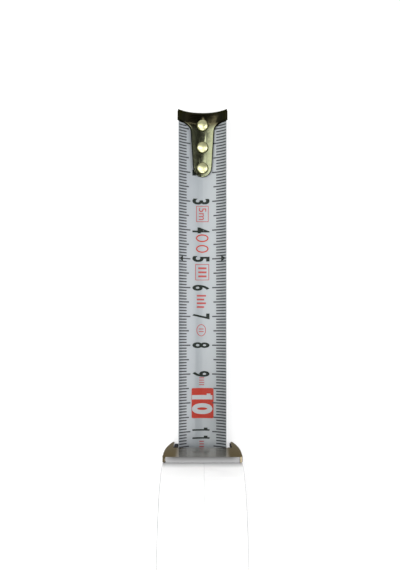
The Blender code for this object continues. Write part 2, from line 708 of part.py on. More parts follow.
def make_drum():
    """The spool: a cup with a hub that runs on the axle. The blade is wound on its outside."""
    hub = BORE_RADIUS + HUB_WALL
    inner = DRUM_RADIUS - DRUM_WALL
    web = -DRUM_HALF + DRUM_WEB
    rim = DRUM_HALF - DRUM_WEB - GAP
    profile = [
        (DRUM_RADIUS, rim),
        (DRUM_RADIUS, -DRUM_HALF),
        (BORE_RADIUS, -DRUM_HALF),
        (BORE_RADIUS, web + HUB_WALL),
        (hub, web + HUB_WALL),
        (hub, web),
        (inner, web),
        (inner, rim),
    ]
    return turned("spool_drum", profile, (0, AXLE_HEIGHT), "X", 40, "grey_nylon")


def make_spool_cover():
    """The disc that closes the drum over the spring."""
    low, high = DRUM_HALF - DRUM_WEB, DRUM_HALF
    profile = [(DRUM_RADIUS, high), (DRUM_RADIUS, low), (BORE_RADIUS, low), (BORE_RADIUS, high)]
    return turned("spool_cover", profile, (0, AXLE_HEIGHT), "X", 40, "grey_nylon")


def make_arbor():
    """The fixed axle, slotted for the spring's inner end."""
    arbor = rod(
        "spring_arbor", ARBOR_RADIUS, -SHAFT_HALF, SHAFT_HALF, (0, AXLE_HEIGHT), look="zinc_screw"
    )
    side = SPRING_STRIP / 2 + GAP
    length = SPRING_HALF + GAP
    slot_foot = AXLE_HEIGHT + ARBOR_RADIUS / 2 - GAP
    low = (-length, -side, slot_foot)
    return cut(arbor, box("arbor_slot", low, (length, side, AXLE_HEIGHT + 2 * ARBOR_RADIUS)))


def screw_profile(head_top, length):
    """From the top of the head, which faces +Z, down to the tip."""
    foot = head_top - SCREW_HEAD_HEIGHT
    return [
        (0, head_top),
        (SCREW_HEAD_RADIUS - 2 * FINE_GAP, head_top),
        (SCREW_HEAD_RADIUS, head_top - 2 * FINE_GAP),
        (SCREW_HEAD_RADIUS, foot),
        (SCREW_SHANK_RADIUS, foot),
        (SCREW_SHANK_RADIUS, head_top - length + SCREW_SHANK_RADIUS),
        (0, head_top - length),
    ]


def cross_recess(screw, name, place, outer_x, side):
    """Cuts a cross into a head whose face is at outer_x and looks towards side."""
    y, z = place
    long, wide = SCREW_HEAD_RADIUS * 0.6, SCREW_RECESS / 2
    low, high = sorted((outer_x - side * SCREW_RECESS, outer_x + side * SCREW_RECESS))
    for arm, (dy, dz) in enumerate(((long, wide), (wide, long))):
        tool = box(f"{name}_recess_{arm}", (low, y - dy, z - dz), (high, y + dy, z + dz))
        cut(screw, tool)


def make_case_screw(name, place):
    """A screw that goes in from the -X side, with its head sunk level with the shell."""
    head_top = side_half(place[1])
    screw = turned(name, screw_profile(head_top, SCREW_LENGTH), place, "X", 20, "zinc_screw")
    screw.matrix_world = Matrix.Translation((0, *place)) @ Matrix.Rotation(-math.pi / 2, 4, "Y")
    cross_recess(screw, name, place, -head_top, -1)
    return screw


def make_lock_button():
    """The thumb slider: a grooved pad that follows the crown, with a stem through the window."""
    inner = CASE_RADIUS + GAP
    outer = inner + LOCK_THICKNESS
    start, end = LOCK_ANGLES
    pitch = (end - start) / (LOCK_GROOVES + 1)
    outline = [polar(outer, start)]
    for i in range(LOCK_GROOVES):
        middle = start + pitch * (i + 1)
        low = outer - LOCK_GROOVE_DEPTH
        outline.append(polar(outer, middle - pitch / 3))
        outline += crown_arc(low, middle - pitch / 12, middle + pitch / 12, 1)
        outline.append(polar(outer, middle + pitch / 3))
    outline += [polar(outer, end)] + crown_arc(inner, end, start, 10)
    pad = flat_plate("lock_button", outline, -LOCK_HALF, LOCK_HALF, "grey_nylon")
    round_rims(pad, LOCK_ROUND)
    first, last = LOCK_STEM_ANGLES
    stem = arc_segment(BRAKE_ARM_OUTER + LOCK_STEM_ROOM, inner + GAP, first, last, 3)
    return fuse(pad, flat_plate("lock_stem", stem, -LOCK_STEM_HALF, LOCK_STEM_HALF))


def brake_pin_place():
    return polar(BRAKE_PIN_ORBIT, BRAKE_PIN_ANGLE)


def make_brake_arm():
    """The arm over the coil, with an eye round the pin."""
    outline = arc_segment(BRAKE_ARM_INNER, BRAKE_ARM_OUTER, *BRAKE_ARM_ANGLES, 8)
    arm = flat_plate("brake_arm", outline, -BRAKE_HALF, BRAKE_HALF, "grey_nylon")
    hole = BRAKE_PIN_RADIUS + RUNNING_GAP
    pin = brake_pin_place()
    eye = rod("brake_eye", hole + HUB_WALL, -BRAKE_HALF, BRAKE_HALF, pin)
    bore = rod("brake_bore", hole, -2 * BRAKE_HALF, 2 * BRAKE_HALF, pin)
    return cut(fuse(arm, eye), bore)


def make_brake_pad():
    """The rubber shoe that bears on the coil when the lock is on."""
    outline = arc_segment(COIL_RADIUS + GAP, BRAKE_ARM_INNER - GAP, *BRAKE_PAD_ANGLES, 5)
    return flat_plate("brake_pad", outline, -BRAKE_HALF, BRAKE_HALF, "soft_rubber")


def make_disc(name, side):
    """A plain round badge in its seat on the side of the case."""
    foot = SIDE_HALF - DISC_SEAT + GAP
    top = foot + DISC_THICKNESS
    chamfer = GAP
    profile = [
        (0, top),
        (DISC_RADIUS - chamfer, top),
        (DISC_RADIUS, top - chamfer),
        (DISC_RADIUS, foot),
        (0, foot),
    ]
    disc = turned(name, profile, (0, DISC_HEIGHT), "X", 48, "disc_silver")
    if side < 0:
        turn = Matrix.Rotation(-math.pi / 2, 4, "Y")
        disc.matrix_world = Matrix.Translation((0, 0, DISC_HEIGHT)) @ turn
    return disc


def make_grip():
    """The rubber band round the back of the case."""
    inner = CASE_RADIUS + GAP
    outer = inner + GRIP_THICKNESS
    outline = crown_arc(outer, GRIP_START, 180, 12) + [(-outer, GRIP_FOOT), (-inner, GRIP_FOOT)]
    outline += crown_arc(inner, 180, GRIP_START, 12)
    grip = flat_plate("rear_grip", outline, -GRIP_HALF, GRIP_HALF, "soft_rubber")
    return round_rims(grip, GRIP_ROUND)


def make_clip():
    """The belt clip: a screwed plate, a bend over the top, and a sprung leg with a flared foot."""
    near = SIDE_HALF + GAP + CLIP_THICKNESS / 2
    far = near + CLIP_STANDOFF + CLIP_THICKNESS
    middle = (near + far) / 2
    bend = (far - near) / 2
    path = [(near, CLIP_PLATE_FOOT), (near, CLIP_TOP - bend)]
    for i in range(1, 8):
        turn = math.pi * i / 8
        path.append((middle - bend * math.cos(turn), CLIP_TOP - bend + bend * math.sin(turn)))
    path += [(far, CLIP_TOP - bend), (far - bend * CLIP_LEAN, CLIP_FOOT + CLIP_FLARE)]
    path += [(far + bend / 2, CLIP_FOOT)]
    rows = [CLIP_Y - CLIP_HALF, CLIP_Y + CLIP_HALF]
    sections = [[(x, y, z) for y in rows] for x, z in path]
    clip = solidify(loft("belt_clip", sections, "spring_steel"), CLIP_THICKNESS, 0)
    hole = SCREW_SHANK_RADIUS + GAP
    place = (CLIP_Y, CLIP_SCREW_HEIGHT)
    cut(clip, rod("clip_plate_hole", hole, SIDE_HALF, middle, place))
    driver = SCREW_HEAD_RADIUS
    cut(clip, rod("clip_driver_hole", driver, middle, far + 2 * CLIP_THICKNESS, place))
    return clip


def make_clip_screw():
    place = (CLIP_Y, CLIP_SCREW_HEIGHT)
    head_top = SIDE_HALF + 2 * GAP + CLIP_THICKNESS + SCREW_HEAD_HEIGHT
    length = CLIP_SCREW_LENGTH + SCREW_HEAD_HEIGHT
    screw = turned("clip_screw", screw_profile(head_top, length), place, "X", 20, "zinc_screw")
    cross_recess(screw, "clip_screw", place, head_top, 1)
    return screw


def build():
    make_shell("case_right", 1)
    make_shell("case_left", -1)
    make_nose_plate()
    make_guide()
    make_bumper()
    make_blade()
    move_origin(make_coil(), 0, AXLE_HEIGHT)
    make_hook()
    for i, back in enumerate(RIVET_FROM_ZERO):
        make_rivet(f"hook_rivet_{i + 1}", back)
    make_drum()
    make_spool_cover()
    make_spring()
    make_arbor()
    for name, place in screw_places().items():
        make_case_screw(name, place)
    move_origin(make_lock_button(), 0, AXLE_HEIGHT)
    move_origin(make_brake_arm(), *brake_pin_place())
    move_origin(make_brake_pad(), *brake_pin_place())
    rod(
        "brake_pin",
        BRAKE_PIN_RADIUS,
        -SHAFT_HALF,
        SHAFT_HALF,
        brake_pin_place(),
        segments=16,
        look="zinc_screw",
    )
    make_disc("side_disc_right", 1)
    make_disc("side_disc_left", -1)
    make_grip()
    make_clip()
    make_clip_screw()


clear_scene()
PARTS = make_collection("tape_measure")
CUTTERS = make_collection("cutters")
LOOK = make_looks()
build()
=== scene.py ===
"""Looks for the pocket tape measure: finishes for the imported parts, the blade's print, trim and a studio."""

import json
import math

import bpy
from mathutils import Matrix, Vector


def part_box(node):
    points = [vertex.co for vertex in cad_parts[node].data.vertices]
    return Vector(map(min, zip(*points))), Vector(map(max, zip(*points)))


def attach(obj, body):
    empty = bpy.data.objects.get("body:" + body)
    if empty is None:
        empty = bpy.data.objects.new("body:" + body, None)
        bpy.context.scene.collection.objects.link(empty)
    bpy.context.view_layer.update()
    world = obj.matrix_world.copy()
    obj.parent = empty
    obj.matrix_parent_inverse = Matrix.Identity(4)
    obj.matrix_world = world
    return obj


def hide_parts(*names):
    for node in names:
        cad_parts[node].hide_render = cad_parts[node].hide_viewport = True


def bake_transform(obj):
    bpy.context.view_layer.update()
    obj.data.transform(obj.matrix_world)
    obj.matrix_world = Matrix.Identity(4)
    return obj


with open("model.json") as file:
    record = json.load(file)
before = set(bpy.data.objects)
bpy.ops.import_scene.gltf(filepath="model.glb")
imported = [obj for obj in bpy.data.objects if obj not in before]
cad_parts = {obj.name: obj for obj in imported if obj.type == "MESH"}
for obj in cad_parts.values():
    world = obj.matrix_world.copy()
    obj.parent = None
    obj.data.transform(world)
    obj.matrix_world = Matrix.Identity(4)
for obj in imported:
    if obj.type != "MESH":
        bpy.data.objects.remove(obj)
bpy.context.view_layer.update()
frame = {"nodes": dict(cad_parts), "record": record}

bl_info = {
    "name": "Tape Measure Looks",
    "version": (1, 0, 0),
    "blender": (4, 5, 0),
    "location": "3D View > Sidebar > Tape Measure",
    "description": "Gives a packed tape measure its finishes, its blade's print, its trim and a studio",
    "category": "Object",
}

MM = 0.001

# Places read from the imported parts
BLADE_LOW, BLADE_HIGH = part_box("blade")
HOOK_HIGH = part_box("hook")[1]
NOSE_LOW, NOSE_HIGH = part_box("nose_plate")
BAND_LOW, BAND_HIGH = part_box("rear_grip")
HOOK_WALL = 0.9 * MM
ZERO_Y = HOOK_HIGH.y - HOOK_WALL  # the scale's zero is the lip's inner face
MOUTH_Y = NOSE_HIGH.y
MOUTH_HALF = 10.0 * MM

# Painted shade: the grey fade on the brow of the case, just behind the nose plate
PAINTED_SHADE_BACK_Y = NOSE_LOW.y - 2.5 * MM
PAINTED_SHADE_LOW_Z = NOSE_HIGH.z - 0.5 * MM
PAINTED_SHADE_HEIGHT = 6.0 * MM
# The pale brow: it starts to fade to the shell's own colour here, over these lengths
BROW_BACK_Y = 0.0 * MM
BROW_FADE = 9 * MM
BROW_FOOT_Z = (20 * MM, 28 * MM)
# The brow's fade by facing direction is painted light and shade: lighter where the shell faces up, darker
# where it turns sideways
BROW_SHADE_TURN = (0.45, 0.85)  # sideways part of the facing direction, where the fade starts and ends

# Ribs of the rear band, and the bronze ring on each side disc
RIB_PITCH = 3.2 * MM
RIB_SPREAD = (9 * MM, 11 * MM)  # from the band's middle to where the ribs fade out
RIB_FRONT_Y = (-29 * MM, -27 * MM)
RIB_HEIGHT = 0.3 * MM
RING_HALF = 0.3 * MM
GROOVE_PITCH = 0.35 * MM

# Near-black felt blocks beside the blade, which stand in for the shade in the mouth; each as its low and high
# corner
LEFT_SHADE_FELT = ((-9.85 * MM, 30.6 * MM, 3.2 * MM), (-8.5 * MM, 31.9 * MM, 11.2 * MM))
RIGHT_SHADE_FELT = ((9.6 * MM, 30.6 * MM, 1.5 * MM), (9.95 * MM, 31.9 * MM, 11.8 * MM))
SHADE_FELT_ROUND = 0.12 * MM

# Print
HIDDEN_PRINT = 4 * MM  # how far the print runs on inside the mouth
FIGURE_WEIGHT = 0.03
TEN_WEIGHT = 0.055
SLICE = 3 * MM
WELD = 0.001 * MM

# Outside parts that get a smooth copy, with the angle in degrees that still shades as one surface
OUTSIDE = {
    "case_left": 32,
    "case_right": 32,
    "nose_plate": 32,
    "lock_button": 32,
    "rear_grip": 32,
    "side_disc_left": 40,
    "side_disc_right": 40,
    "belt_clip": 32,
    "clip_screw": 32,
    "hook": 40,
    "hook_rivet_1": 40,
    "hook_rivet_2": 40,
    "hook_rivet_3": 40,
}
# Of those, the ones whose edges are rounded over: by how much, and where sharper than how many degrees
EASED = {"hook": (0.3 * MM, 55)}

# Softboxes: place, aim, size, and power against the key light's
SOFTBOXES = {
    "softbox_left": ((-0.30, 0.14, 0.52), (-0.02, 0.08, 0), (0.34, 0.80), 1.75),
    "softbox_right": ((0.60, 0.06, 0.44), (0.02, 0.06, 0), (0.40, 0.80), 2.3),
    "softbox_rear": ((-0.10, -0.55, 0.55), (0, 0.5 * ZERO_Y, 0), (0.90, 0.40), 3.2),
}

# Camera, straight above the blade
CAMERA_HEIGHT = 250.6 * MM
CAMERA_AHEAD = 38.6 * MM  # in front of the mouth
LENS = 44.2
SHIFT_X = -0.0044
SHIFT_Y = 0.086


# ---------------------------------------------------------------- materials


class Wire:
    """One output socket of a material, with arithmetic that adds Math nodes."""

    def __init__(self, finish, socket):
        self.finish = finish
        self.socket = socket

    def _math(self, operation, *values):
        return self.finish.node("ShaderNodeMath", {"operation": operation}, dict(enumerate(values)))

    def __add__(self, other):
        return self._math("ADD", self, other)

    __radd__ = __add__

    def __sub__(self, other):
        return self._math("SUBTRACT", self, other)

    def __rsub__(self, other):
        return self._math("SUBTRACT", other, self)

    def __mul__(self, other):
        return self._math("MULTIPLY", self, other)

    __rmul__ = __mul__

    def __truediv__(self, other):
        return self._math("DIVIDE", self, other)

    def __abs__(self):
        return self._math("ABSOLUTE", self)

    def sine(self):
        return self._math("SINE", self)

    def root(self):
        return self._math("SQRT", self)

    def above(self, level):
        return self._math("GREATER_THAN", self, level)

    def clamp(self, low, high, kind="SMOOTHSTEP"):
        """0 at low and 1 at high, with a soft start and end."""
        settings = {"interpolation_type": kind}
        values = {"Value": self, "From Min": low, "From Max": high}
        return self.finish.node("ShaderNodeMapRange", settings, values)

    def ramp(self, low, high):
        """0 at low and 1 at high, along a straight line."""
        return self.clamp(low, high, "LINEAR")


class Finish:
    """A Principled material built up from nodes."""

    def __init__(self, name, roughness=0.5, metallic=0.0, **fixed):
        self.material = bpy.data.materials.new(name)
        self.material.use_nodes = True
        self.tree = self.material.node_tree
        self.shader = self.tree.nodes["Principled BSDF"]
        self.shader.inputs["Roughness"].default_value = roughness
        self.shader.inputs["Metallic"].default_value = metallic
        for socket, value in fixed.items():
            self.shader.inputs[socket.replace("_", " ")].default_value = value

    def node(self, kind, settings=None, values=None, output=0):
        made = self.tree.nodes.new(kind)
        for key, value in (settings or {}).items():
            setattr(made, key, value)
        for key, value in (values or {}).items():
            self.feed(made.inputs[key], value)
        return Wire(self, made.outputs[output])

    def feed(self, socket, value):
        if isinstance(value, Wire):
            self.tree.links.new(value.socket, socket)
        else:
            socket.default_value = value

    def axes(self, output):
        """(x, y, z) of one output of the Texture Coordinate node."""
        source = self.node("ShaderNodeTexCoord", output=output)
        split = self.tree.nodes.new("ShaderNodeSeparateXYZ")
        self.tree.links.new(source.socket, split.inputs[0])
        return [Wire(self, out) for out in split.outputs]

    def place(self):
        """(x, y, z) of the point, in metres."""
        return self.axes("Object")

    def facing(self):
        """(x, y, z) of the direction that the surface faces, of length 1."""
        return self.axes("Normal")

    def spot(self, stretch=(1, 1, 1)):
        place = self.node("ShaderNodeTexCoord", output="Object")
        return self.node("ShaderNodeMapping", None, {"Vector": place, "Scale": stretch})

    def noise(self, size, stretch=(1, 1, 1), detail=2.0, rough=0.5):
        """Noise from 0 to 1 whose lumps are about size metres across."""
        values = {"Vector": self.spot(stretch), "Scale": 1 / size, "Detail": detail, "Roughness": rough}
        return self.node("ShaderNodeTexNoise", None, values, output="Fac")

    def mix(self, mask, a, b):
        """Colour a where the mask is 0, and b where it is 1."""
        made = self.tree.nodes.new("ShaderNodeMix")
        made.data_type = "RGBA"
        self.feed(made.inputs["Factor"], mask)
        colours = [socket for socket in made.inputs if socket.type == "RGBA"]
        self.feed(colours[0], a if isinstance(a, Wire) else (*a, 1.0))
        self.feed(colours[1], b if isinstance(b, Wire) else (*b, 1.0))
        return Wire(self, next(out for out in made.outputs if out.type == "RGBA"))

    def colour(self, value):
        self.feed(self.shader.inputs["Base Color"], value if isinstance(value, Wire) else (*value, 1.0))

    def roughness(self, value):
        self.feed(self.shader.inputs["Roughness"], value)

    def bump(self, height, distance, strength=1.0):
        """Raises the surface by height times distance, in metres."""
        values = {"Height": height, "Distance": distance, "Strength": strength}
        self.feed(self.shader.inputs["Normal"], self.node("ShaderNodeBump", None, values))


def pearl_shell():
    """Pearl moulded plastic: silvery at the sides and back, pale on the brow, and grey next to the nose, which
    is painted shade.

    The brow's colour fades out backwards and downwards, and round to the sides by facing direction: painted
    light and shade, lighter where it faces up and darker where it turns sideways.
    """
    finish = Finish("pearl_shell", 0.3, Coat_Roughness=0.12)
    _, y, z = finish.place()
    cloud = finish.noise(14 * MM)
    silver = finish.mix(cloud, colours().shell, lighter(colours().shell, 1.12))
    pale = finish.mix(cloud, lighter(colours().brow, 0.985), lighter(colours().brow, 1.02))
    # painted light and shade: the pale brow gives way to the silvery shell as the surface turns sideways
    painted_light_brow = y.clamp(BROW_BACK_Y - BROW_FADE, BROW_BACK_Y) * (1 - abs(finish.facing()[0]).clamp(*BROW_SHADE_TURN))
    white = finish.mix(painted_light_brow * z.clamp(*BROW_FOOT_Z), silver, pale)
    # painted shade: grey next to the nose plate, fading out upwards over the brow
    brow = (y - PAINTED_SHADE_BACK_Y).above(0.0) * (z - PAINTED_SHADE_LOW_Z).clamp(0.0, 0.5 * MM)
    shade = brow * (1 - (z - PAINTED_SHADE_LOW_Z).ramp(0.0, PAINTED_SHADE_HEIGHT))
    finish.colour(finish.mix(shade, white, (0.33, 0.33, 0.335)))
    finish.roughness(0.26 + 0.1 * finish.noise(0.35 * MM, detail=1.0))
    finish.feed(finish.shader.inputs["Coat Weight"], 0.4 * (1 - brow))
    finish.bump(finish.noise(1.1 * MM, detail=1.0), 0.01 * MM)
    return finish


def bronze_chrome():
    """Smoky mirror plating on the nose plate's front; its top carries painted shade, darkest at the middle of
    its front edge, and the inside of its mouth is painted near-black, also painted shade.
    """
    finish = Finish("bronze_chrome", 0.08, 1.0, Specular_Tint=(0.28, 0.25, 0.195, 1.0), Coat_Roughness=0.24)
    x, y, z = finish.place()
    cloud = finish.noise(6 * MM)
    plating = finish.mix(cloud, (0.19, 0.16, 0.11), (0.165, 0.14, 0.095))
    # painted shade on the top face: grey, darkest at the middle of its front edge, lighter towards its ends
    # and its back
    top = (z - NOSE_HIGH.z).clamp(-0.06 * MM, -0.02 * MM)
    back = (y - NOSE_LOW.y) / (NOSE_HIGH.y - NOSE_LOW.y)
    ends = (abs(x) / NOSE_HIGH.x).ramp(0.72, 1.0)
    front_edge_shade = finish.mix(ends, (0.125, 0.125, 0.126), (0.42, 0.42, 0.425))
    top_painted_shade = finish.mix(back.ramp(0.0, 1.0), (0.46, 0.46, 0.465), front_edge_shade)
    # painted shade: the inside of the mouth is near-black and not metallic
    inside = (MOUTH_HALF + 0.06 * MM - abs(x)).above(0.0) * (NOSE_HIGH.y - 0.06 * MM - y).above(0.0)
    plating_with_shaded_mouth = finish.mix(inside, plating, (0.012, 0.010, 0.008))
    finish.colour(finish.mix(top, plating_with_shaded_mouth, top_painted_shade))
    glassy = 1 - (abs(x) / BLADE_HIGH.x).clamp(0.62, 0.97)
    finish.feed(finish.shader.inputs["Metallic"], (1 - top) * (1 - inside) * (1 - 0.4 * glassy))
    finish.feed(finish.shader.inputs["Coat Weight"], glassy * (1 - top))
    finish.roughness(0.08 + 0.7 * top + 0.08 * finish.noise(1.5 * MM, (1, 1, 8)))
    finish.bump(finish.noise(9 * MM), 0.02 * MM)
    return finish


def blade_lacquer():
    """Pale grey-blue lacquer on the blade, a little darker and bluer towards the -X edge, which is painted
    shade.
    """
    finish = Finish("blade_lacquer", 0.34, Coat_Weight=0.3, Coat_Roughness=0.2)
    x = finish.place()[0]
    # painted shade: the lacquer is darker and bluer towards the -X edge
    across = (x / BLADE_HIGH.x).clamp(-1.0, 1.0)
    base = finish.mix(across, (0.270, 0.294, 0.318), (0.305, 0.332, 0.338))
    finish.colour(finish.mix(0.25 * finish.noise(5 * MM), base, (0.36, 0.38, 0.39)))
    finish.roughness(0.3 + 0.12 * finish.noise(0.4 * MM))
    finish.bump(finish.noise(0.25 * MM, detail=1.0), 0.004 * MM)
    return finish


def printed_ink(name, colour, worn):
    """Printing ink, very slightly uneven."""
    finish = Finish(name, 0.45, Specular_IOR_Level=0.2)
    finish.colour(finish.mix(finish.noise(0.6 * MM), colour, worn))
    finish.roughness(0.4 + 0.15 * finish.noise(0.3 * MM))
    return finish


def polished_hook():
    """Dark olive plating over pressed steel, with painted shade: darker on the bar, and near-black down its
    edges where the surface turns away from up.
    """
    finish = Finish("polished_hook", 0.22, 1.0, Specular_Tint=(0.45, 0.45, 0.3, 1.0))
    y = finish.place()[1]
    base = finish.mix(finish.noise(4 * MM), (0.15, 0.16, 0.092), (0.20, 0.21, 0.135))
    # painted shade: the bar is plated darker than the tongue
    bar = (y - ZERO_Y).clamp(-6.0 * MM, -3.0 * MM)
    plating_with_shaded_bar = finish.mix(bar, base, (0.05, 0.044, 0.024))
    # painted shade: near-black wherever the surface turns away from up, down the edges
    finish.colour(finish.mix(finish.facing()[2].clamp(0.70, 0.92), (0.012, 0.012, 0.008), plating_with_shaded_bar))
    finish.roughness(0.14 + 0.08 * finish.noise(1.2 * MM))
    finish.bump(finish.noise(2.2 * MM), 0.03 * MM)
    return finish


def rivet_brass():
    """Pale brass rivet heads with a satin face, and painted shade darkening their rims as they turn away from
    up.
    """
    finish = Finish("rivet_brass", 0.3, 0.8)
    # painted shade: the domes darken towards their rims, where they turn away from up
    rim_shade_mask = finish.facing()[2].clamp(0.55, 0.95)
    face = finish.mix(finish.noise(1.3 * MM), (0.80, 0.79, 0.47), (0.66, 0.66, 0.36))
    finish.colour(finish.mix(rim_shade_mask, (0.17, 0.17, 0.07), face))
    finish.roughness(0.3 + 0.12 * finish.noise(0.5 * MM))
    finish.bump(finish.noise(1.0 * MM, detail=1.0), 0.05 * MM)
    return finish


def zinc_screw():
    """Zinc plating with turning marks."""
    finish = Finish("zinc_screw", 0.3, 1.0)
    finish.colour(finish.mix(finish.noise(1.5 * MM), (0.42, 0.43, 0.45), (0.34, 0.35, 0.36)))
    finish.roughness(0.25 + 0.2 * finish.noise(0.3 * MM, (8, 1, 1)))
    return finish


def spring_steel():
    """Blued spring steel, brushed along its length."""
    finish = Finish("spring_steel", 0.3, 1.0)
    brush = finish.noise(0.2 * MM, (1, 1, 0.04), detail=4.0)
    finish.colour(finish.mix(brush, (0.15, 0.155, 0.17), (0.25, 0.255, 0.27)))
    finish.roughness(0.22 + 0.2 * brush)
    finish.bump(brush, 0.006 * MM)
    return finish


def grey_nylon():
    """Spark-eroded moulded nylon."""
    finish = Finish("grey_nylon", 0.5)
    grain = finish.noise(0.28 * MM, detail=3.0)
    finish.colour(finish.mix(finish.noise(7 * MM), (0.055, 0.058, 0.064), (0.075, 0.078, 0.084)))
    finish.roughness(0.42 + 0.2 * grain)
    finish.bump(grain, 0.02 * MM)
    return finish


def soft_rubber():
    """Matt rubber with a fine grain, ribbed across the band behind the case."""
    finish = Finish("soft_rubber", 0.8)
    _, y, z = finish.place()
    middle = (BAND_LOW.z + BAND_HIGH.z) / 2
    wave = ((z - middle) * (2 * math.pi / RIB_PITCH)).sine()
    ribbed = (1 - abs(z - middle).clamp(*RIB_SPREAD)) * (1 - y.clamp(*RIB_FRONT_Y))
    grain = finish.noise(0.35 * MM, detail=3.0)
    finish.colour(finish.mix(finish.noise(5 * MM), (0.018, 0.018, 0.02), (0.03, 0.03, 0.032)))
    finish.roughness(0.65 + 0.25 * grain)
    finish.bump(0.1 * grain + 0.9 * ribbed * wave.clamp(-0.6, 0.6), RIB_HEIGHT)
    return finish


def black_felt():
    """Dense black felt, standing in for the shade in the mouth beside the blade."""
    finish = Finish("black_felt", 0.95, Specular_IOR_Level=0.15)
    pile = finish.noise(0.12 * MM, detail=3.0)
    finish.colour(finish.mix(pile, (0.006, 0.006, 0.009), (0.016, 0.016, 0.022)))
    finish.bump(pile, 0.03 * MM)
    return finish


def disc_silver():
    """Satin aluminium, spun round the disc's centre, with a bronze ring."""
    finish = Finish("disc_silver", 0.3, 1.0)
    _, y, z = finish.place()
    low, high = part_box("side_disc_right")
    centre = (low + high) / 2
    rings = ((y - centre.y) * (y - centre.y) + (z - centre.z) * (z - centre.z)).root()
    groove = (rings * (2 * math.pi / GROOVE_PITCH)).sine()
    satin = finish.mix(finish.noise(8 * MM), (0.30, 0.305, 0.315), (0.36, 0.365, 0.375))
    ring = 1 - abs(rings - 0.4 * (high.y - low.y)).clamp(RING_HALF, RING_HALF + 0.1 * MM)
    finish.colour(finish.mix(ring, satin, (0.13, 0.11, 0.075)))
    finish.roughness(0.26 + 0.05 * groove)
    finish.bump(groove * 0.5 + 0.5, 0.006 * MM)
    return finish


FINISHES = {
    "pearl_shell": pearl_shell,
    "bronze_chrome": bronze_chrome,
    "blade_lacquer": blade_lacquer,
    "polished_hook": polished_hook,
    "rivet_brass": rivet_brass,
    "zinc_screw": zinc_screw,
    "spring_steel": spring_steel,
    "grey_nylon": grey_nylon,
    "soft_rubber": soft_rubber,
    "disc_silver": disc_silver,
    "black_felt": black_felt,
    "ink_black": lambda: printed_ink("ink_black", (0.004, 0.008, 0.005), (0.012, 0.018, 0.013)),
    "ink_grey": lambda: printed_ink("ink_grey", (0.035, 0.038, 0.042), (0.06, 0.062, 0.066)),
    "ink_red": lambda: printed_ink("ink_red", tuple(colours().red_ink), lighter(colours().red_ink, 0.86)),
    "ink_dark_red": lambda: printed_ink("ink_dark_red", (0.33, 0.05, 0.05), (0.40, 0.08, 0.075)),
    "ink_white": lambda: printed_ink("ink_white", (0.44, 0.46, 0.47), (0.40, 0.42, 0.43)),
}
made_finishes = {}


def colours():
    return bpy.context.scene.tape_colours


def lighter(colour, by):
    """The colour, brighter or darker by a factor."""
    return tuple(min(1.0, part * by) for part in colour)


def finish_named(name):
    """Each finish is made once and shared by the pieces that wear it."""
    if name not in made_finishes:
        made_finishes[name] = FINISHES[name]().material
    return made_finishes[name]


def wear(piece, name):
    piece.data.materials.clear()
    piece.data.materials.append(finish_named(name))


# ---------------------------------------------------------------- modelling helpers


def deselect():
    bpy.ops.object.select_all(action="DESELECT")


def pick(*pieces):
    """Selects these pieces and makes the first active."""
    deselect()
    for piece in pieces:
        piece.select_set(True)
    bpy.context.view_layer.objects.active = pieces[0]


def settle(piece):
    """Puts a piece's place, turn and size into its mesh."""
    pick(piece)
    bpy.ops.object.transform_apply(location=True, rotation=True, scale=True)
    return piece


def join(name, pieces):
    pick(*pieces)
    if len(pieces) > 1:
        bpy.ops.object.join()
    pieces[0].name = pieces[0].data.name = name
    return pieces[0]


def merged_copy(context, node, name):
    """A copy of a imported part, with its loose triangles joined up, picked and ready to edit."""
    packed = frame["nodes"][node]
    piece = bpy.data.objects.new(name, packed.data.copy())
    piece.data.name = name
    piece.data.transform(packed.matrix_world)
    context.scene.collection.objects.link(piece)
    pick(piece)
    bpy.ops.object.mode_set(mode="EDIT")
    bpy.ops.mesh.select_all(action="SELECT")
    bpy.ops.mesh.remove_doubles(threshold=WELD)
    bpy.ops.object.mode_set(mode="OBJECT")
    return piece


def ease(piece, width, angle):
    """Rounds the edges that are sharper than the angle, in degrees."""
    edge = piece.modifiers.new("edge", "BEVEL")
    edge.width = width
    edge.segments = 2
    edge.limit_method = "ANGLE"
    edge.angle_limit = math.radians(angle)
    bpy.ops.object.modifier_apply(modifier=edge.name)


def rectangle(x_low, x_high, y_low, y_high, z):
    """A flat rectangle at height z."""
    deselect()
    bpy.ops.mesh.primitive_plane_add(size=1, location=((x_low + x_high) / 2, (y_low + y_high) / 2, z))
    piece = bpy.context.object
    piece.scale = (x_high - x_low, y_high - y_low, 1)
    return settle(piece)


def repeat(piece, count, step):
    """Copies a piece down the blade with an Array modifier."""
    row = piece.modifiers.new("row", "ARRAY")
    row.count = count
    row.use_relative_offset = False
    row.use_constant_offset = True
    row.constant_offset_displace = (0, step, 0)
    pick(piece)
    bpy.ops.object.modifier_apply(modifier=row.name)
    return piece


def slice_across(piece, step):
    """Cuts a flat piece along the blade every step, so that it can follow the blade's curve."""
    xs = [v.co.x for v in piece.data.vertices]
    low, high = min(xs), max(xs)
    pick(piece)
    bpy.ops.object.mode_set(mode="EDIT")
    for i in range(math.ceil(low / step), math.floor(high / step) + 1):
        bpy.ops.mesh.select_all(action="SELECT")
        bpy.ops.mesh.bisect(plane_co=(i * step, 0, 0), plane_no=(1, 0, 0))
    bpy.ops.object.mode_set(mode="OBJECT")
    return piece


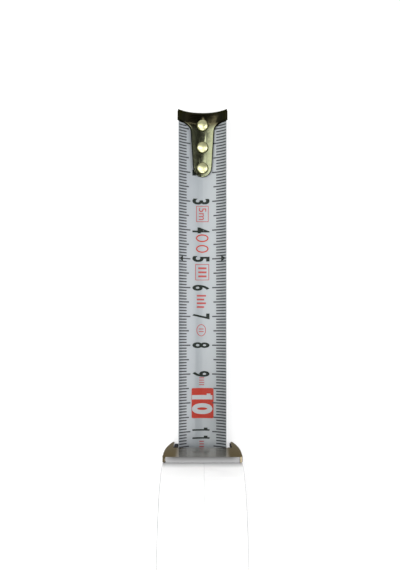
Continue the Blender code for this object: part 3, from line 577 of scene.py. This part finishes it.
def lay_on_blade(piece, strip, proud):
    """Drops a flat piece onto the blade, just proud of it, without what hangs over a rivet's hole."""
    slice_across(piece, 0.8 * MM)
    drop = piece.modifiers.new("drop", "SHRINKWRAP")
    drop.target = strip
    drop.wrap_method = "PROJECT"
    drop.use_project_z = True
    drop.use_negative_direction = True
    drop.use_positive_direction = False
    pick(piece)
    bpy.ops.object.modifier_apply(modifier=drop.name)
    bpy.ops.object.mode_set(mode="EDIT")
    bpy.ops.mesh.select_all(action="DESELECT")
    bpy.ops.mesh.select_mode(type="VERT")
    bpy.ops.object.mode_set(mode="OBJECT")
    for vertex in piece.data.vertices:
        vertex.select = vertex.co.z > art_height() - MM
    bpy.ops.object.mode_set(mode="EDIT")
    bpy.ops.mesh.delete(type="VERT")
    bpy.ops.mesh.select_all(action="SELECT")
    bpy.ops.transform.translate(value=(0, 0, proud))
    bpy.ops.object.mode_set(mode="OBJECT")
    return piece


def print_on(piece, name, ink, strip, layer=1):
    """Names a flat piece of artwork, inks it and lays it on the blade."""
    piece.name = piece.data.name = name
    wear(piece, ink)
    lay_on_blade(piece, strip, layer * sizes().ink_proud)
    follow_blade(piece)
    return piece


# ---------------------------------------------------------------- shapes of the print


def outline_only(piece, stroke):
    """Leaves a stroke round a flat piece's edge."""
    pick(piece)
    bpy.ops.object.mode_set(mode="EDIT")
    bpy.ops.mesh.select_all(action="SELECT")
    bpy.ops.mesh.inset(thickness=stroke, use_even_offset=True)
    bpy.ops.mesh.delete(type="FACE")
    bpy.ops.object.mode_set(mode="OBJECT")
    return piece


def oval(x_low, x_high, y_low, y_high, z, corners=32):
    deselect()
    centre = ((x_low + x_high) / 2, (y_low + y_high) / 2, z)
    bpy.ops.mesh.primitive_circle_add(vertices=corners, radius=0.5, fill_type="NGON", location=centre)
    piece = bpy.context.object
    piece.scale = (x_high - x_low, y_high - y_low, 1)
    return settle(piece)


def rounded(piece, radius):
    """Rounds the corners of a flat rectangle."""
    pick(piece)
    bpy.ops.object.mode_set(mode="EDIT")
    bpy.ops.mesh.select_all(action="SELECT")
    bpy.ops.mesh.bevel(affect="VERTICES", offset=radius, segments=5)
    bpy.ops.object.mode_set(mode="OBJECT")
    return piece


def figure(body, x_low, x_high, from_zero, wide, weight, z):
    """A number set across the blade, with its top towards +X, centred at a distance from zero."""
    deselect()
    bpy.ops.object.text_add()
    text = bpy.context.object
    text.data.body = body
    text.data.offset = weight
    text.data.resolution_u = 6
    bpy.ops.object.convert(target="MESH")
    piece = bpy.context.object
    xs = [v.co.x for v in piece.data.vertices]
    ys = [v.co.y for v in piece.data.vertices]
    centre = Vector(((min(xs) + max(xs)) / 2, (min(ys) + max(ys)) / 2, 0))
    size = Matrix.Diagonal((wide / (max(xs) - min(xs)), (x_high - x_low) / (max(ys) - min(ys)), 1, 1))
    turn = Matrix.Rotation(-math.pi / 2, 4, "Z")
    spot = Matrix.Translation(((x_low + x_high) / 2, ZERO_Y - from_zero, z))
    piece.matrix_world = spot @ turn @ size @ Matrix.Translation(-centre)
    return settle(piece)


# ---------------------------------------------------------------- operators


class TapeSizes(bpy.types.PropertyGroup):
    """Sizes of the print and of the floor."""

    figure_top: bpy.props.FloatProperty(
        name="Figure top", description="Top of the black figures, across the blade",
        default=2.45 * MM, unit="LENGTH",
    )
    figure_foot: bpy.props.FloatProperty(
        name="Figure foot", description="Foot of the black figures, across the blade",
        default=-3.52 * MM, unit="LENGTH",
    )
    figure_width: bpy.props.FloatProperty(
        name="Figure width", description="Width of one figure along the blade",
        default=2.04 * MM, unit="LENGTH",
    )
    tick_width: bpy.props.FloatProperty(
        name="Tick width", description="Width of one scale mark along the blade",
        default=0.45 * MM, unit="LENGTH",
    )
    ink_proud: bpy.props.FloatProperty(
        name="Ink height", description="Height of the ink above the lacquer",
        default=0.025 * MM, unit="LENGTH", precision=6,
    )
    floor_size: bpy.props.FloatProperty(
        name="Floor size", description="Width of the studio floor", default=3.0, unit="LENGTH",
    )


class TapeColours(bpy.types.PropertyGroup):
    """Colours of the case and of the print, and the brightness of the studio."""

    shell: bpy.props.FloatVectorProperty(
        name="Shell", description="Colour of the case's sides and back",
        default=(0.26, 0.265, 0.275), size=3, min=0.0, max=1.0, subtype="COLOR",
    )
    brow: bpy.props.FloatVectorProperty(
        name="Brow", description="Colour of the pale brow above the nose plate",
        default=(0.945, 0.945, 0.94), size=3, min=0.0, max=1.0, subtype="COLOR",
    )
    red_ink: bpy.props.FloatVectorProperty(
        name="Red ink", description="Colour of the box round the 10",
        default=(0.42, 0.035, 0.02), size=3, min=0.0, max=1.0, subtype="COLOR",
    )

    floor_glow: bpy.props.FloatProperty(
        name="Floor glow", description="How brightly the pale floor glows from below", default=0.62, min=0.0,
    )
    key_power: bpy.props.FloatProperty(
        name="Key light", description="Power that the three softboxes are shares of",
        default=1.85, min=0.0, unit="POWER",
    )


def sizes():
    return bpy.context.scene.tape_sizes


def art_height():
    """Flat artwork is drawn at this height and then dropped onto the blade."""
    return BLADE_HIGH.z + 2 * MM


def follow_blade(piece):
    """Puts the piece's place, turn and size into its mesh."""
    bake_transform(piece)


class TAPE_OT_finish_parts(bpy.types.Operator):
    """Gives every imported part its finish"""

    bl_idname = "tape.finish_parts"
    bl_label = "Finish Parts"

    def execute(self, context):
        for row in frame["record"]["subparts"]:
            wear(frame["nodes"][row["node"]], row["material_slot"])
        return {"FINISHED"}


class TAPE_OT_smooth_parts(bpy.types.Operator):
    """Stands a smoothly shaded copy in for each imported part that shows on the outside"""

    bl_idname = "tape.smooth_parts"
    bl_label = "Smooth Parts"

    def execute(self, context):
        slots = {row["node"]: row["material_slot"] for row in frame["record"]["subparts"]}
        for body, nodes in frame["record"]["behaviour"]["bodies"].items():
            for node in nodes:
                if node in OUTSIDE:
                    self.smooth(context, node, body, slots[node])
        return {"FINISHED"}

    def smooth(self, context, node, body, slot):
        piece = merged_copy(context, node, f"{node}_smooth")
        if node in EASED:
            ease(piece, *EASED[node])
        bpy.ops.object.shade_smooth_by_angle(angle=math.radians(OUTSIDE[node]))
        even = piece.modifiers.new("even", "WEIGHTED_NORMAL")
        even.keep_sharp = True
        bpy.ops.object.modifier_apply(modifier=even.name)
        wear(piece, slot)
        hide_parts(node)
        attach(piece, body)


class TAPE_OT_blade_strip(bpy.types.Operator):
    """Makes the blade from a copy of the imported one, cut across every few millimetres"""

    bl_idname = "tape.blade_strip"
    bl_label = "Blade Strip"

    def execute(self, context):
        strip = merged_copy(context, "blade", "blade_strip")
        bpy.ops.object.mode_set(mode="EDIT")
        for i in range(1, int((BLADE_HIGH.y - BLADE_LOW.y) / SLICE)):
            bpy.ops.mesh.select_all(action="SELECT")
            bpy.ops.mesh.bisect(plane_co=(0, BLADE_LOW.y + i * SLICE, 0), plane_no=(0, 1, 0))
        bpy.ops.object.mode_set(mode="OBJECT")
        bpy.ops.object.shade_smooth_by_angle(angle=math.radians(40))
        wear(strip, "blade_lacquer")
        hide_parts("blade")
        return {"FINISHED"}


class TAPE_OT_scale_marks(bpy.types.Operator):
    """Prints the millimetre marks along both edges of the blade"""

    bl_idname = "tape.scale_marks"
    bl_label = "Scale Marks"

    def execute(self, context):
        strip = bpy.data.objects["blade_strip"]
        edges = {
            "left": (-7.98 * MM, -5.50 * MM, -4.70 * MM, -4.20 * MM),
            "right": (8.03 * MM, 4.75 * MM, 3.79 * MM, 3.34 * MM),
        }
        for side, (edge, short, middle, long) in edges.items():
            rows = []
            for first in (6, 7, 3, 4):
                rows.append(self.marks(edge, short, first, 5))
            rows.append(self.marks(edge, middle, 5, 10))
            rows.append(self.marks(edge, long, 10, 10))
            print_on(join(f"marks_{side}", rows), f"marks_{side}", "ink_grey", strip)
        return {"FINISHED"}

    def marks(self, edge, end, first, every):
        """Marks at first, first + every, and so on, in millimetres from zero, until they are in the mouth."""
        half = sizes().tick_width / 2
        y = ZERO_Y - first * MM
        mark = rectangle(min(edge, end), max(edge, end), y - half, y + half, art_height())
        count = 1 + int((ZERO_Y - MOUTH_Y + HIDDEN_PRINT - first * MM) / (every * MM))
        return repeat(mark, count, -every * MM)


class TAPE_OT_figures(bpy.types.Operator):
    """Prints the centimetre figures, the arrows at 5 and the red box at 10"""

    bl_idname = "tape.figures"
    bl_label = "Figures"

    def execute(self, context):
        strip = bpy.data.objects["blade_strip"]
        z = art_height()
        low, high = sizes().figure_foot, sizes().figure_top
        for number in range(2, 10):
            piece = figure(str(number), low, high, number * 10 * MM, sizes().figure_width, FIGURE_WEIGHT, z)
            print_on(piece, f"figure_{number}", "ink_black", strip)
        for number, bars in ((1, (10.0,)), (11, (109.5, 112.3))):
            ones = join(f"figure_{number}", [self.one(low, high, bar * MM, z, 0.27 * MM) for bar in bars])
            print_on(ones, f"figure_{number}", "ink_black", strip)
        box = rounded(rectangle(-3.8 * MM, 3.83 * MM, ZERO_Y - 105.4 * MM, ZERO_Y - 94.9 * MM, z), 0.55 * MM)
        print_on(box, "ten_box", "ink_red", strip)
        ten = [self.one(-3.66 * MM, 3.45 * MM, 98.1 * MM, z, 0.75 * MM)]
        ten.append(figure("0", -3.66 * MM, 3.45 * MM, 102.1 * MM, 3.8 * MM, TEN_WEIGHT, z))
        print_on(join("ten_figures", ten), "ten_figures", "ink_white", strip, 2)
        self.arrow("arrow_left", -7.95 * MM, -6.75 * MM, strip)
        self.arrow("arrow_right", 8.03 * MM, 6.45 * MM, strip)
        return {"FINISHED"}

    def one(self, low, high, from_zero, z, half):
        """A plain 1: a bar, half its thickness each side of its middle, with a short flag near its top."""
        y = ZERO_Y - from_zero
        bar = rectangle(low, high, y - half, y + half, z)
        flag = rectangle(high - 2.0 * MM, high - 0.7 * MM, y + half, y + half + 0.54 * MM, z)
        return join("one", [bar, flag])

    def arrow(self, name, tip, base, strip):
        """A small solid triangle that points out over the blade's edge at 5 cm."""
        deselect()
        bpy.ops.mesh.primitive_circle_add(vertices=3, radius=1.0, fill_type="NGON")
        piece = bpy.context.object
        long = tip - base
        turn = Matrix.Rotation(-math.pi / 2, 4, "Z")
        size = Matrix.Diagonal((long / 1.5, 1.2 * MM, 1, 1))
        spot = Matrix.Translation((base + long / 3, ZERO_Y - 50 * MM, art_height()))
        piece.matrix_world = spot @ size @ turn
        settle(piece)
        print_on(piece, name, "ink_black", strip)


class TAPE_OT_red_marks(bpy.types.Operator):
    """Prints plain red marks between the figures"""

    bl_idname = "tape.red_marks"
    bl_label = "Red Marks"

    def execute(self, context):
        strip = bpy.data.objects["blade_strip"]
        z = art_height()

        def box(x_low, x_high, near, far):
            return rectangle(x_low * MM, x_high * MM, ZERO_Y - far * MM, ZERO_Y - near * MM, z)

        def ring(x_low, x_high, near, far):
            return oval(x_low * MM, x_high * MM, ZERO_Y - far * MM, ZERO_Y - near * MM, z)

        length = [outline_only(box(-2.2, 2.1, 31.5, 37.1), 0.22 * MM)]
        length.append(figure("5m", -1.3 * MM, 1.3 * MM, 34.3 * MM, 4.2 * MM, 0.004, z))
        print_on(join("length_mark", length), "length_mark", "ink_dark_red", strip)
        pair = [outline_only(ring(-2.3, 2.1, 41.4, 44.1), 0.42 * MM)]
        pair.append(outline_only(ring(-2.3, 2.1, 45.1, 47.8), 0.42 * MM))
        print_on(join("ring_pair", pair), "ring_pair", "ink_red", strip)
        frame_mark = [outline_only(box(-2.5, 2.3, 51.8, 57.4), 0.22 * MM)]
        frame_mark += [box(-1.5, 1.4, near, near + 0.65) for near in (52.9, 54.3, 55.7)]
        print_on(join("frame_mark", frame_mark), "frame_mark", "ink_dark_red", strip)
        bars = ((62.5, 1.2), (63.8, 0.6), (65.1, 1.2), (66.4, 0.6))
        row = [box(-2.0, high, near, near + 0.6) for near, high in bars]
        print_on(join("bar_row", row), "bar_row", "ink_dark_red", strip)
        eye = [outline_only(ring(-2.1, 1.2, 72.7, 76.9), 0.25 * MM)]
        eye += [box(-1.3, 0.4, near, near + 0.3) for near in (74.2, 75.1)]
        print_on(join("eye_mark", eye), "eye_mark", "ink_dark_red", strip)
        small = [box(-1.2, 0.6, near, near + 0.3) for near in (91.2, 92.0, 92.8, 93.6)]
        small += [box(-1.1, 0.5, near, near + 0.35) for near in (113.3, 114.2, 115.1)]
        print_on(join("small_bars", small), "small_bars", "ink_dark_red", strip)
        return {"FINISHED"}


class TAPE_OT_settle_blade(bpy.types.Operator):
    """Puts the blade's place, turn and size into its mesh, once all its print is on"""

    bl_idname = "tape.settle_blade"
    bl_label = "Settle Blade"

    def execute(self, context):
        follow_blade(bpy.data.objects["blade_strip"])
        return {"FINISHED"}


class TAPE_OT_trim(bpy.types.Operator):
    """Stands dark felt blocks in the mouth, beside the blade, as painted shade there"""

    bl_idname = "tape.trim"
    bl_label = "Trim"

    def execute(self, context):
        made = []
        # the felt blocks stand in for the shade in the mouth beside the blade
        for low, high in (LEFT_SHADE_FELT, RIGHT_SHADE_FELT):
            deselect()
            centre = [(a + b) / 2 for a, b in zip(low, high)]
            bpy.ops.mesh.primitive_cube_add(size=1, location=centre)
            felt = bpy.context.object
            felt.scale = [b - a for a, b in zip(low, high)]
            settle(felt)
            ease(felt, SHADE_FELT_ROUND, 30)
            made.append(felt)
        felts = join("mouth_shade_felts", made)
        wear(felts, "black_felt")
        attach(felts, "case")
        return {"FINISHED"}


class TAPE_OT_studio(bpy.types.Operator):
    """Adds the pale floor, the soft lights and the camera"""

    bl_idname = "tape.studio"
    bl_label = "Studio"

    def execute(self, context):
        self.floor(context)
        self.lights(context)
        self.camera(context)
        return {"FINISHED"}

    def floor(self, context):
        half = sizes().floor_size / 2
        floor = rectangle(-half, half, -half, half, -0.05 * MM)
        floor.name = floor.data.name = "floor"
        finish = Finish("pale_floor", 0.9)
        finish.colour(finish.mix(finish.noise(0.4), (0.40, 0.40, 0.40), (0.42, 0.42, 0.42)))
        finish.shader.inputs["Emission Color"].default_value = (1.0, 1.0, 1.0, 1.0)
        finish.shader.inputs["Emission Strength"].default_value = colours().floor_glow
        floor.data.materials.clear()
        floor.data.materials.append(finish.material)

    def softbox(self, context, name, place, aim, size, power):
        data = bpy.data.lights.new(name, "AREA")
        data.shape = "RECTANGLE"
        data.size, data.size_y = size
        data.energy = power
        light = bpy.data.objects.new(name, data)
        context.scene.collection.objects.link(light)
        light.location = place
        light.rotation_euler = (Vector(aim) - Vector(place)).to_track_quat("-Z", "Y").to_euler()

    def lights(self, context):
        for name, (place, aim, size, share) in SOFTBOXES.items():
            self.softbox(context, name, place, aim, size, share * colours().key_power)
        self.sky(context)

    def sky(self, context):
        """Dark overhead, so that bright metal stays dark, and pale towards the horizon."""
        world = bpy.data.worlds.new("studio")
        context.scene.world = world
        world.use_nodes = True
        tree = world.node_tree
        spot = tree.nodes.new("ShaderNodeTexCoord")
        split = tree.nodes.new("ShaderNodeSeparateXYZ")
        ramp = tree.nodes.new("ShaderNodeMapRange")
        ramp.inputs["From Min"].default_value = 0.05
        ramp.inputs["From Max"].default_value = 0.55
        ramp.inputs["To Min"].default_value = 0.95
        ramp.inputs["To Max"].default_value = 0.06
        tree.links.new(spot.outputs["Generated"], split.inputs[0])
        tree.links.new(split.outputs["Z"], ramp.inputs["Value"])
        tree.links.new(ramp.outputs["Result"], tree.nodes["Background"].inputs["Strength"])
        tree.nodes["Background"].inputs["Color"].default_value = (1.0, 1.0, 1.0, 1.0)
        context.scene.view_settings.view_transform = "Standard"

    def camera(self, context):
        """Looks straight down on the blade from above its middle."""
        data = bpy.data.cameras.new("camera")
        data.sensor_width = 36.0
        data.lens = LENS
        data.shift_x = SHIFT_X
        data.shift_y = SHIFT_Y
        camera = bpy.data.objects.new("camera", data)
        context.scene.collection.objects.link(camera)
        camera.location = (0, MOUTH_Y + CAMERA_AHEAD, CAMERA_HEIGHT)
        context.scene.camera = camera


class TAPE_PT_panel(bpy.types.Panel):
    """Lists the steps that dress the tape measure"""

    bl_label = "Tape Measure"
    bl_idname = "TAPE_PT_panel"
    bl_space_type = "VIEW_3D"
    bl_region_type = "UI"
    bl_category = "Tape Measure"

    def draw(self, context):
        for group in (context.scene.tape_sizes, context.scene.tape_colours):
            for key in group.__annotations__:
                self.layout.prop(group, key)
        for step in STEPS:
            self.layout.operator(step.bl_idname)


STEPS = (
    TAPE_OT_finish_parts,
    TAPE_OT_smooth_parts,
    TAPE_OT_blade_strip,
    TAPE_OT_scale_marks,
    TAPE_OT_figures,
    TAPE_OT_red_marks,
    TAPE_OT_settle_blade,
    TAPE_OT_trim,
    TAPE_OT_studio,
)
CLASSES = (TapeSizes, TapeColours, *STEPS, TAPE_PT_panel)


def register():
    for cls in CLASSES:
        bpy.utils.register_class(cls)
    bpy.types.Scene.tape_sizes = bpy.props.PointerProperty(type=TapeSizes)
    bpy.types.Scene.tape_colours = bpy.props.PointerProperty(type=TapeColours)


def unregister():
    del bpy.types.Scene.tape_colours
    del bpy.types.Scene.tape_sizes
    for cls in reversed(CLASSES):
        bpy.utils.unregister_class(cls)


def main():
    register()
    for step in STEPS:
        group, operation = step.bl_idname.split(".")
        getattr(getattr(bpy.ops, group), operation)()


if __name__ == "__main__":
    main()
